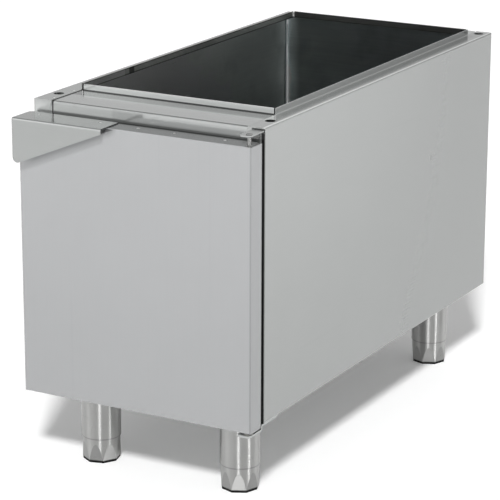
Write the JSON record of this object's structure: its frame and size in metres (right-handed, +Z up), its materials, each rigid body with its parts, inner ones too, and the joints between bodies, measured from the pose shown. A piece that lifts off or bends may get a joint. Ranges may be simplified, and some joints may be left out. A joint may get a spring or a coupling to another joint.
{
  "type": "open-top base cabinet",
  "caption": "Stainless open-topped base cabinet with an upstand round its top opening, one hinged door with a folded corner handle, and adjustable round legs.",
  "frame": {"origin": "on the floor under the middle of the overall outline, door and handle included", "axes": "+Z up from the floor, +Y from the door to the rear, +X to the right seen from the front"},
  "size_m": [0.4, 0.8748, 0.598],
  "materials": {
    "satin_steel": "satin sheet, fine grain along the panel",
    "polished_steel": "polished tube and turned shell",
    "bracket_steel": "plain rolled plate",
    "turned_steel": "turned, bright",
    "plated_steel": "zinc plated",
    "foot_rubber": "matt black",
    "bush_plastic": "natural moulded",
    "case_plastic": "matt black moulded",
    "magnet": "ground ferrite"
  },
  "bodies": {
    "cabinet": {"left_side_panel": "satin_steel", "right_side_panel": "satin_steel", "back_panel": "satin_steel", "bottom_shelf": "satin_steel", "front_top_rail": "satin_steel", "rear_top_rail": "satin_steel", "front_leg_rail": "satin_steel", "rear_leg_rail": "satin_steel", "leg_plate_front_left": "satin_steel", "leg_plate_front_right": "satin_steel", "leg_plate_rear_left": "satin_steel", "leg_plate_rear_right": "satin_steel", "leg_tube_front_left": "polished_steel", "leg_tube_front_right": "polished_steel", "leg_tube_rear_left": "polished_steel", "leg_tube_rear_right": "polished_steel", "upper_hinge_bracket": "bracket_steel", "lower_hinge_bracket": "bracket_steel", "upper_hinge_pin": "turned_steel", "lower_hinge_pin": "turned_steel", "hinge_rivets": "turned_steel", "leg_bolts": "plated_steel", "leg_weld_nuts": "plated_steel", "catch_screws": "plated_steel", "stem_nut_front_left": "plated_steel", "stem_nut_front_right": "plated_steel", "stem_nut_rear_left": "plated_steel", "stem_nut_rear_right": "plated_steel", "magnet_case": "case_plastic", "catch_magnet": "magnet"},
    "door": {"door_outer_skin": "satin_steel", "door_inner_skin": "satin_steel", "upper_bush_plate": "bracket_steel", "lower_bush_plate": "bracket_steel", "upper_hinge_bush": "bush_plastic", "lower_hinge_bush": "bush_plastic", "door_handle": "satin_steel", "strike_plate": "bracket_steel"},
    "foot_front_left": {"foot_shell_front_left": "polished_steel", "foot_stem_front_left": "plated_steel", "foot_pad_front_left": "foot_rubber"},
    "foot_front_right": {"foot_shell_front_right": "polished_steel", "foot_stem_front_right": "plated_steel", "foot_pad_front_right": "foot_rubber"},
    "foot_rear_left": {"foot_shell_rear_left": "polished_steel", "foot_stem_rear_left": "plated_steel", "foot_pad_rear_left": "foot_rubber"},
    "foot_rear_right": {"foot_shell_rear_right": "polished_steel", "foot_stem_rear_right": "plated_steel", "foot_pad_rear_right": "foot_rubber"}
  },
  "joints": [
    {"name": "door_swing", "type": "hinge", "parent": "cabinet", "child": "door", "pos_m": [0.1922, -0.4106, 0.35], "axis": [0, 0, 1], "range_deg": [0, 180]},
    {"name": "foot_front_left_screw", "type": "slide", "parent": "cabinet", "child": "foot_front_left", "axis": [0, 0, -1], "range_m": [-0.015, 0.015]},
    {"name": "foot_front_right_screw", "type": "slide", "parent": "cabinet", "child": "foot_front_right", "axis": [0, 0, -1], "range_m": [-0.015, 0.015]},
    {"name": "foot_rear_left_screw", "type": "slide", "parent": "cabinet", "child": "foot_rear_left", "axis": [0, 0, -1], "range_m": [-0.015, 0.015]},
    {"name": "foot_rear_right_screw", "type": "slide", "parent": "cabinet", "child": "foot_rear_right", "axis": [0, 0, -1], "range_m": [-0.015, 0.015]}
  ]
}
